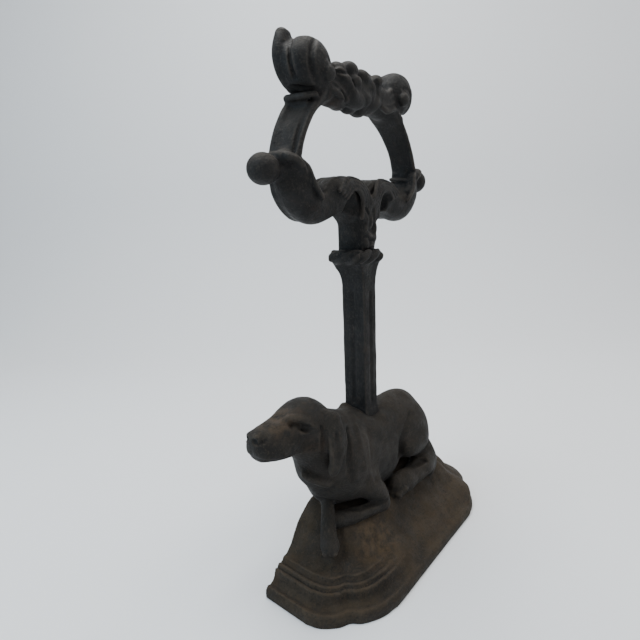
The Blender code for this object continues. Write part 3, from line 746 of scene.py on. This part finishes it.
def lean(points):
    """The ring's front stands a little to the right of its back, above the neck."""
    moved = points.copy()
    moved[:, 0] -= LEAN * ramp_between(points[:, 2], 262.0, 284.0) * points[:, 1]
    return moved


def build_ring():
    field = Field((COLUMN_X - 108, -34, COLLAR_TOP - 4.5), (COLUMN_X + 108, 2.5, RING_TOP + 3),
                  RING_CELL)
    add, carve = field.add, field.carve
    for side in (-1, 1):
        def limb(*stations):
            return tube(*((COLUMN_X + side * x, y, z, r) for x, y, z, r in stations))

        def knob(x, y, z, radii):
            return blob((COLUMN_X + side * x, y, z), radii)

        # Strap from the crossbar down the side, round the volute and up over the hump.
        add(strap([(side * x, z, half) for x, z, half in STRAP], 2.2), 2)
        # Rounded sheath that holds the arm's lower end and runs into the volute.
        add(limb((76, -11.5, 299.5, 7.4), (74.5, -12, 291, 9.2), (69.5, -13, 281.5, 10.2),
                 (59.5, -13.5, 272.8, 10.8), (47.5, -13.5, 271.8, 10.0), (34, -13, 278.8, 9.6)), 2)
        # Lip of the sheath, thick round the outside and folding over the arm on the inside.
        add(limb((80, -3.5, 303.4, 2.4), (82.5, -10, 302.8, 2.9), (82.6, -17, 302, 3.0),
                 (78.8, -21.6, 300.6, 2.8), (73.6, -22.6, 296.6, 2.4), (70.2, -22.8, 290, 2.0),
                 (66, -23, 282, 1.4)), 1.2)
        add(limb((73.4, -19.5, 299.6, 2.2), (69.6, -19.8, 297.4, 2.8), (67.4, -20, 292, 3.0),
                 (62.6, -20, 285, 2.8)), 2)
        add(limb((71, -13.5, 300.4, 2.0), (70.6, -5, 301, 2.0)), 2)
        # Raised inner edge of the volute's face, with a channel beside it.
        add(limb((72.6, -21.5, 300, 1.6), (68.4, -22.6, 296.4, 1.9), (66, -23.6, 290.6, 2.0),
                 (61.6, -24.2, 283.2, 1.9), (55.5, -24.4, 277.4, 1.6)), 0.8)
        carve(limb((73.5, -24.6, 293.5, 1.6), (70, -25.4, 287, 2.2), (64.6, -26, 280, 2.2),
                   (57, -26.2, 274.2, 1.6)), 1.6)
        carve(limb((81.4, -22.5, 297.4, 1.4), (78, -24, 292, 2.6), (74.4, -24.8, 285.4, 2.2),
                   (70, -25.4, 278.5, 1.0)), 2.0)
        # Side knob on a short neck.
        add(limb((78, -10.5, 295, 7.0), (88, -10.5, 295.2, 6.4)), 2)
        add(knob(93.6, -10.5, 294.6, (9.4, 9.4, 9.6)), 1.2)
        carve(limb((85.5, -18.5, 303, 1.0), (86.4, -19.6, 296.5, 1.5), (85.2, -18.5, 288, 1.2)),
              1.6)
        # Top scroll: ball, the bands rolled round it, its eye, and the leaf that stands up behind.
        add(knob(52.8, -13.0, 358.6, (16.8, 13.8, 16.6)), 2)
        add(strap([(side * 44, 352, 9), (side * 52.8, 358.6, 15.2), (side * 57, 360, 12)], 4.0), 3)
        leaf_top = LEFT_LEAF_TOP if side < 0 else RIGHT_LEAF_TOP
        add(limb((54, -5, 349.5, 4.6), (62.2, -5, 353.5, 5.2), (66.6, -4.4, 361.5, 4.8),
                 (66, -4, 369, 4.6), (63.6, -3.6, leaf_top, 3.9)), 1.6)
        add(limb((59, -7, 362, 6.0), (60, -4.4, 371, 4.6), (60, -3.8, leaf_top - 0.4, 3.6)), 1.6)
        carve(limb((58.5, -8.5, 376.5, 1.0), (64, -11, 371.5, 1.1), (67.6, -13, 365, 1.1),
                   (68.6, -14, 357, 1.1), (66, -14.5, 349.5, 1.1)), 2.0)
        carve(limb((52, -20, 373.2, 0.8), (57.6, -22.6, 369.2, 1.3), (61.4, -23.8, 363, 1.6),
                   (62.4, -24.2, 356.5, 1.9), (60, -24, 350.5, 1.8), (54.5, -23.6, 346.6, 1.3)), 1.4)
        carve(limb((46, -25.4, 361, 0.9), (50.5, -27.2, 361.6, 1.4), (54.6, -27.6, 358.6, 1.6),
                   (55.2, -27.4, 353, 1.6), (51.5, -26.6, 348.6, 1.2)), 1.4)
        add(knob(47.4, -25.0, 353.4, (5.4, 4.0, 5.2)), 0.8)
        # Hollow under the scroll, and the band that ends its leaf.
        carve(limb((67, -3, 344.4, 1.6), (62.5, -12, 344, 2.2), (55, -21, 343.6, 1.6)), 1.4)
        close = 0.0 if side < 0 else 4.0
        add(limb((59.8 - close, -2, 340.4, 2.2), (62.0 - close, -10, 339.4, 2.4),
                 (60.6 - close, -16.6, 339.4, 2.4), (54.6 - close, -20.0, 341.0, 2.0)), 1.2)
        add(limb((58.2 - close, -2, 337.2, 1.5), (60.2 - close, -10, 336.0, 1.6),
                 (58.6 - close, -17.0, 335.6, 1.4)), 1.0)
        # Arm: a wider back edge, a raised fillet along the front and a channel beside it.
        add(limb((56.5, -3.2, 338.4, 2.6), (63.4, -3.2, 330.6, 3.0), (70.2, -3.2, 318.6, 3.2),
                 (74.6, -3.2, 306, 3.2)), 2.5)
        add(limb((45, -20.6, 344.6, 1.5), (52, -20.6, 337, 1.4), (61, -20.6, 326.6, 1.3),
                 (68.4, -20.6, 314, 1.3), (72.4, -20.6, 303, 1.3)), 1.0)
        carve(limb((56.6, -19.2, 338, 1.0), (65, -19, 327, 1.4), (71.8, -18.8, 314, 1.4),
                   (75.4, -18.6, 304, 1.0)), 1.6)
        # Ribbed band round the arm above the volute.
        for z in (289.0, 294.0):
            add(limb((66.0, -3, z + 2.0, 1.6), (65.0, -12, z + 1.0, 1.7), (66.0, -19.6, z, 1.5)), 1.2)
        # Hump: a rounded swell, notched beside the neck, with leaf ridges arched round the notch.
        add(knob(29.5, -15.0, 281.2, (17.0, 9.4, 11.4)), 3)
        carve(knob(19.6, -26.4, 269.0, (9.2, 14.0, 13.4)), 1.0)
        for k in range(4):
            reach, rise, size = 10.0 + 2.7 * k, 14.4 + 2.6 * k, 1.7 - 0.08 * k
            arch = []
            for angle in np.radians((-22, 0, 30, 60, 90, 118, 146)):
                high = 270.0 + rise * math.sin(angle)
                back = math.sqrt(max(0.05, 1.0 - ((max(high, 281.6) - 281.6) / 12.6) ** 2))
                arch.append((19.8 - reach * math.cos(angle) * (1.0 if angle < 1.6 else 1.25),
                               -15.0 - 9.9 * back, high, size))
            add(limb(*arch), 0.8)
        for y in (-18, -13.5, -9, -4.5):
            add(limb((46, y, 283.0, 0.8), (39, y, 289.6, 1.0), (29, y, 292.6, 1.0),
                     (17, y, 291.8, 1.0), (6, y, 287.6, 0.8)), 1.0)
        carve(limb((52.5, -26, 279, 2.0), (52, -20, 285.6, 3.0), (51.5, -10, 288.5, 3.6),
                   (51.5, 0, 288.5, 3.6)), 3.0)
        # Crossbar: a rounded bar, with the leaf that runs from its middle into the scroll.
        add(limb((0, -11.5, 351.5, 12.6), (20, -11.5, 351.5, 12.0), (38, -11.5, 348.5, 10.0)), 3)
        for k in range(4):
            rise = -5.5 + 4.2 * k
            add(limb((19, -22.0 + 0.5 * k, 345.0 + 2.6 * k, 1.6),
                     (27, -22.4 + 0.6 * k, 347.2 + rise * 0.9, 2.2),
                     (36, -22.0 + 0.8 * k, 351.0 + rise, 2.1),
                     (44, -20.5 + k, 353.5 + rise * 1.3, 1.4)), 0.9)
    # Acanthus at the middle of the crossbar: (x, y, z, radii, tilt) of each lobe, in the frame's x.
    for x, y, z, size, tilt in (
            (-31.5, -21.6, 353.6, (10.0, 4.6, 5.0), 38), (-25.0, -22.8, 348.4, (7.2, 4.2, 4.8), 60),
            (-33.0, -16.5, 360.8, (6.6, 6.4, 5.2), 10), (-22.0, -18.5, 362.8, (7.4, 6.2, 5.4), 5),
            (-20.5, -22.8, 355.0, (5.4, 4.2, 4.4), 15), (-8.0, -19.6, 359.4, (7.8, 6.2, 5.8), 22),
            (-1.0, -20.4, 354.4, (5.2, 5.2, 5.2), 40), (-20.0, -20.6, 344.4, (11.6, 5.8, 6.4), 8),
            (-8.6, -21.0, 347.0, (6.8, 4.8, 4.8), 20), (5.0, -19.0, 346.0, (8.4, 5.8, 5.6), -10),
            (9.0, -19.5, 360.6, (6.6, 6.0, 5.0), -20), (-34.0, -16.0, 342.4, (6.4, 6.0, 4.2), 20),
            (-12.0, -9.0, 364.8, (14.0, 7.0, 6.0), 4), (10.0, -9.0, 364.2, (10.0, 7.0, 5.6), 8)):
        add(blob((x + LEAN * y, y, z), size, (0, tilt, 0)), 2.0)
    for x, z, r in ((-37.0, 340.6, 3.2), (-30.0, 339.6, 3.0), (-17.0, 339.4, 3.2), (-5.5, 339.2, 3.6),
                    (5.0, 341.4, 2.8)):
        add(blob((x - 1.4, -14.0, z), (r + 2.0, 5.0, r)), 2.2)
    # Deep cuts between the lobes.
    for run in (((-41, -22.5, 357.6, 0.9), (-33, -25, 357.6, 1.3), (-26, -25.4, 359.8, 1.2),
                 (-15.5, -25.2, 359, 1.1)),
                ((-26.5, -24.6, 353.6, 1.2), (-23.6, -26, 350.2, 1.3), (-15, -26.6, 350.8, 1.3),
                 (-6, -25.8, 351.6, 1.4)),
                ((-37.5, -22, 345.8, 1.1), (-33, -23.5, 342.6, 1.2), (-31, -23, 338, 1.0)),
                ((4.6, -24.5, 360, 1.6), (6.4, -25, 353, 2.4), (4.2, -25, 347.5, 1.8),
                 (-1, -24.6, 341.5, 1.3)),
                ((-15, -21, 369, 1.0), (-14, -25, 364.4, 1.3), (-14, -25.5, 359.8, 1.1))):
        carve(tube(*((x + LEAN * y, y, z, r) for x, y, z, r in run)), 1.2)
    # Neck: smooth sides, and a leafy front with a cleft down its middle.
    add(slab((COLUMN_X, COLUMN_Y + 0.6, 256), (9.4, 11.8, 24.0), 1.8), 3)
    for x, z, size, tilt in (
            (-4.6, 267, (3.0, 2.4, 6.0), 14), (4.2, 268, (3.2, 2.4, 6.4), -12),
            (-0.4, 274.8, (3.0, 2.4, 5.0), 0), (0.6, 261, (3.0, 2.6, 5.6), 24),
            (6, 257.6, (2.4, 2.2, 5.2), -10), (-5.6, 257.4, (2.6, 2.2, 5.4), 18),
            (-1.2, 251.6, (5.6, 2.6, 2.5), 22), (4.6, 249.4, (3.2, 2.4, 4.2), 20),
            (-5.4, 246, (3.0, 2.2, 4.4), -16), (0.8, 244.6, (4.4, 2.4, 2.6), -10)):
        add(blob((COLUMN_X + x, LEAF_FRONT, z), size, (0, tilt, 0)), 1.3)
    for blend, run in (
            (1.4, ((-8.6, -25.6, 271, 0.9), (-1.8, -26.6, 263.6, 1.2), (-2.6, -26.6, 256, 1.2),
                   (3, -26.4, 252.4, 1.0))),
            (1.2, ((1.2, -26.6, 270.4, 1.0), (2.8, -26.6, 264, 1.1), (3.2, -26.4, 257.6, 1.0))),
            (2.0, ((11, -25.5, 248, 1.6), (9, -25.5, 240, 3.2)))):
        carve(tube(*((COLUMN_X + x, y, z, r) for x, y, z, r in run)), blend)
    # Foot in the socket, and the flat back.
    foot_z = COLLAR_TOP - 2.7
    field.limit(lambda x, y, z: foot_z - z, 0.6)
    field.limit(lambda x, y, z: y - 0.5)
    casting("ring_casting", field, "ring_handle", IRON["ring"], strength=0.85, seed=37, shape=lean)


# ---- Set, light and camera ------------------------------
def build_set():
    mesh = bpy.data.meshes.new("floor")
    # A sheet that curves up behind, drawn as (depth, height) steps.
    bend_start, bend = 0.55, 0.35
    steps = [(-3.0, 0.0), (bend_start, 0.0)]
    steps += [(bend_start + bend * math.sin(a), bend - bend * math.cos(a))
              for a in np.linspace(0.1, math.pi / 2, 14)]
    steps.append((bend_start + bend, 3.0))
    away, right = Vector((0.767, 0.642, 0.0)), Vector((0.642, -0.767, 0.0))
    points = [away * depth + right * width + Vector((0, 0, height))
              for depth, height in steps for width in (-4.0, 4.0)]
    faces = [(2 * i, 2 * i + 1, 2 * i + 3, 2 * i + 2) for i in range(len(steps) - 1)]
    mesh.from_pydata([tuple(p) for p in points], [], faces)
    mesh.shade_smooth()
    floor = bpy.data.objects.new("floor", mesh)
    bpy.context.scene.collection.objects.link(floor)
    paper = bpy.data.materials.new("pale_paper")
    paper.use_nodes = True
    shader = paper.node_tree.nodes["Principled BSDF"]
    shader.inputs["Base Color"].default_value = (0.78, 0.79, 0.80, 1.0)
    shader.inputs["Roughness"].default_value = 0.9
    mesh.materials.append(paper)


def add_light(name, place, target, size, power, color=(1.0, 1.0, 1.0)):
    data = bpy.data.lights.new(name, "AREA")
    data.shape = "DISK"
    data.size, data.energy, data.color = size, power, color
    light = bpy.data.objects.new(name, data)
    light.location = place
    light.rotation_euler = (Vector(target) - Vector(place)).to_track_quat("-Z", "Y").to_euler()
    bpy.context.scene.collection.objects.link(light)


def build_lights():
    middle = (0.0, 0.0, 0.18)
    add_light("overhead", (0.05, 0.10, 1.35), middle, 0.9, 21.0, (1.0, 0.99, 0.97))
    add_light("left_window", (-0.95, 0.35, 0.80), middle, 0.8, 9.0, (0.66, 0.84, 1.0))
    add_light("front_fill", (-0.8, -1.1, 0.70), middle, 1.4, 2.5, (0.96, 0.98, 1.0))
    add_light("right_fill", (0.9, -0.8, 0.9), middle, 1.2, 6.0, (1.0, 0.98, 0.96))
    world = bpy.data.worlds.new("studio")
    bpy.context.scene.world = world
    world.use_nodes = True
    backdrop = world.node_tree.nodes["Background"]
    backdrop.inputs["Color"].default_value = (0.86, 0.93, 1.0, 1.0)
    backdrop.inputs["Strength"].default_value = 0.27


def build_camera():
    heading, pitch, roll = 0.697, 0.208, -0.04      # radians
    forward = Vector((math.cos(heading) * math.cos(pitch), math.sin(heading) * math.cos(pitch),
                      -math.sin(pitch)))
    level = Vector((math.sin(heading), -math.cos(heading), 0.0))
    upright = level.cross(forward)
    right = math.cos(roll) * level + math.sin(roll) * upright
    up = -math.sin(roll) * level + math.cos(roll) * upright
    place = Vector((-0.30078, -0.21791, 0.262)) + Vector(ORIGIN)
    data = bpy.data.cameras.new("camera")
    data.sensor_width, data.lens = 36.0, 25.90875
    data.clip_start = 0.01
    camera = bpy.data.objects.new("camera", data)
    matrix = Matrix((right, up, -forward)).transposed().to_4x4()
    matrix.translation = place
    camera.matrix_world = matrix
    bpy.context.scene.collection.objects.link(camera)
    bpy.context.scene.camera = camera


build_camera()
build_set()
build_lights()
build_plinth()
build_dog()
build_column()
build_ring()
for node in ("tie_rod", "washer", "square_nut", "fixing_screw_front", "fixing_screw_rear"):
    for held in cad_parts[node].material_slots:
        held.material = IRON["fastener"]
